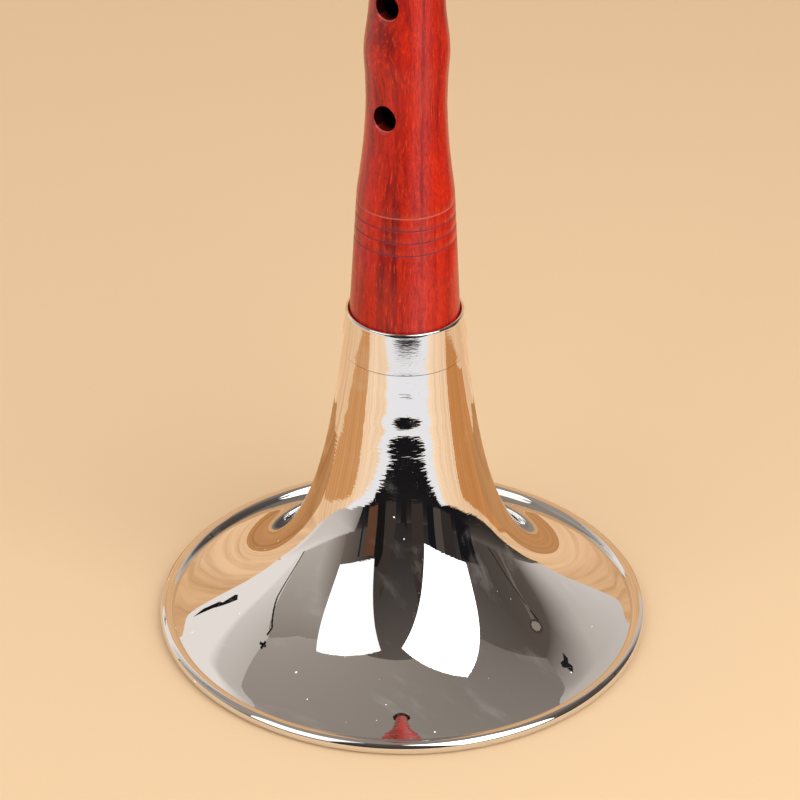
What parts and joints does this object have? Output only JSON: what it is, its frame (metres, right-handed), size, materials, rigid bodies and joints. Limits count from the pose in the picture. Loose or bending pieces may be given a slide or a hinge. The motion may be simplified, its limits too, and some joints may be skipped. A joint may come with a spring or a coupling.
{
  "type": "zurna",
  "caption": "Suona-type zurna: turned hardwood pipe with finger holes, flared sheet-metal bell, brass staple with beads, loose air disc and flattened cane reed.",
  "frame": {"origin": "middle of the bell's mouth, on the plane the instrument stands on", "axes": "+Z along the instrument's axis towards the reed; the finger holes face -Y, the thumb hole faces +Y, the reed is widest along X"},
  "size_m": [0.125, 0.125, 0.3806],
  "materials": {
    "bell_plating": "bright plating over spun brass sheet, fine handling scratches",
    "bead_plating": "bright nickel plating",
    "rim_wire": "plain drawn wire",
    "red_hardwood": "oiled and polished, satin gloss",
    "brass": "bare, slightly dulled",
    "thread": "waxed cotton thread",
    "cane": "bare cane, matt"
  },
  "bodies": {
    "pipe": {"pipe": "red_hardwood"},
    "bell": {"bell": "bell_plating", "bell_collar": "bell_plating", "rim_wire": "rim_wire"},
    "staple": {"staple": "brass", "staple_thread": "thread", "large_bead": "bead_plating", "small_bead": "bead_plating"},
    "air_disc": {"air_disc": "bead_plating"},
    "reed": {"reed": "cane", "reed_wire": "brass"}
  },
  "joints": [
    {"name": "bell_lift", "type": "slide", "parent": "pipe", "child": "bell", "axis": [0, 0, 1], "range_m": [0, 0.262]},
    {"name": "staple_pull", "type": "slide", "parent": "pipe", "child": "staple", "axis": [0, 0, 1], "range_m": [0, 0.018]},
    {"name": "air_disc_play", "type": "slide", "parent": "staple", "child": "air_disc", "axis": [0, 0, 1], "range_m": [0, 0.0025]},
    {"name": "reed_pull", "type": "slide", "parent": "staple", "child": "reed", "axis": [0, 0, 1], "range_m": [0, 0.009]}
  ]
}
